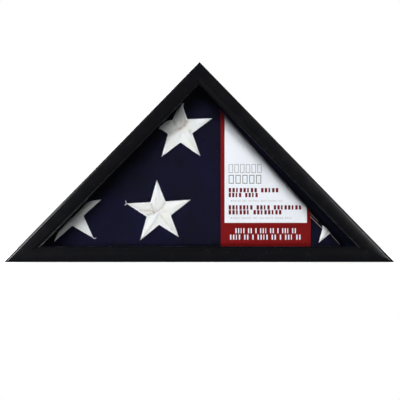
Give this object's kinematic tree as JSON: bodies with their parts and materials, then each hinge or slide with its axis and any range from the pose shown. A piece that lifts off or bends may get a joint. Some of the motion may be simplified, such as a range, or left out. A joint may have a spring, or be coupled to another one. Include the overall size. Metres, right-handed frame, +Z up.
{
  "type": "folded flag display case",
  "caption": "Triangular mitred box frame with a glass front and a lift-off back, holding a folded flag behind a printed card.",
  "frame": {"origin": "centre of the bottom face, on the surface that the case stands on", "axes": "+X along the base to the viewer's right, -Y out of the glass front, +Z up"},
  "size_m": [0.374, 0.063, 0.192],
  "materials": {
    "black_rail": "satin black wrap on a wood moulding",
    "zinc_steel": "bright zinc plate",
    "button_steel": "pressed steel, zinc plated",
    "clear_glass": "clear float glass",
    "black_spacer": "flat black",
    "navy_cloth": "woven cotton, soft and matt",
    "star_thread": "sewn white cloth with stitched edges",
    "printed_card": "smooth printed card, white and red",
    "hardboard": "brown hardboard, smooth outside"
  },
  "bodies": {
    "case": {"rail_bottom": "black_rail", "rail_left": "black_rail", "rail_right": "black_rail", "corner_nails": "zinc_steel", "glass_pane": "clear_glass", "spacer_bottom": "black_spacer", "spacer_left": "black_spacer", "spacer_right": "black_spacer", "folded_flag": "navy_cloth", "star_top": "star_thread", "star_middle": "star_thread", "star_left": "star_thread", "star_right": "star_thread", "label_card": "printed_card", "button_screws": "zinc_steel"},
    "back": {"back_panel": "hardboard", "sawtooth_hanger": "zinc_steel", "hanger_rivets": "zinc_steel"},
    "turn_button_bottom_right": {"turn_button_bottom_right": "button_steel"},
    "turn_button_bottom_left": {"turn_button_bottom_left": "button_steel"},
    "turn_button_left_low": {"turn_button_left_low": "button_steel"},
    "turn_button_left_high": {"turn_button_left_high": "button_steel"},
    "turn_button_right_high": {"turn_button_right_high": "button_steel"},
    "turn_button_right_low": {"turn_button_right_low": "button_steel"}
  },
  "joints": [
    {"name": "back_panel_lift", "type": "slide", "parent": "case", "child": "back", "axis": [0, 1, 0], "range_m": [0, 0.08]},
    {"name": "bottom_right_turn", "type": "hinge", "parent": "case", "child": "turn_button_bottom_right", "pos_m": [0.08976, 0.02915, 0.0042], "axis": [0, -1, 0], "continuous": true},
    {"name": "bottom_left_turn", "type": "hinge", "parent": "case", "child": "turn_button_bottom_left", "pos_m": [-0.08976, 0.02915, 0.0042], "axis": [0, -1, 0], "continuous": true},
    {"name": "left_low_turn", "type": "hinge", "parent": "case", "child": "turn_button_left_low", "pos_m": [-0.13911, 0.02915, 0.04315], "axis": [0, -1, 0], "continuous": true},
    {"name": "left_high_turn", "type": "hinge", "parent": "case", "child": "turn_button_left_high", "pos_m": [-0.06057, 0.02915, 0.12379], "axis": [0, -1, 0], "continuous": true},
    {"name": "right_high_turn", "type": "hinge", "parent": "case", "child": "turn_button_right_high", "pos_m": [0.06057, 0.02915, 0.12379], "axis": [0, -1, 0], "continuous": true},
    {"name": "right_low_turn", "type": "hinge", "parent": "case", "child": "turn_button_right_low", "pos_m": [0.13911, 0.02915, 0.04315], "axis": [0, -1, 0], "continuous": true}
  ]
}
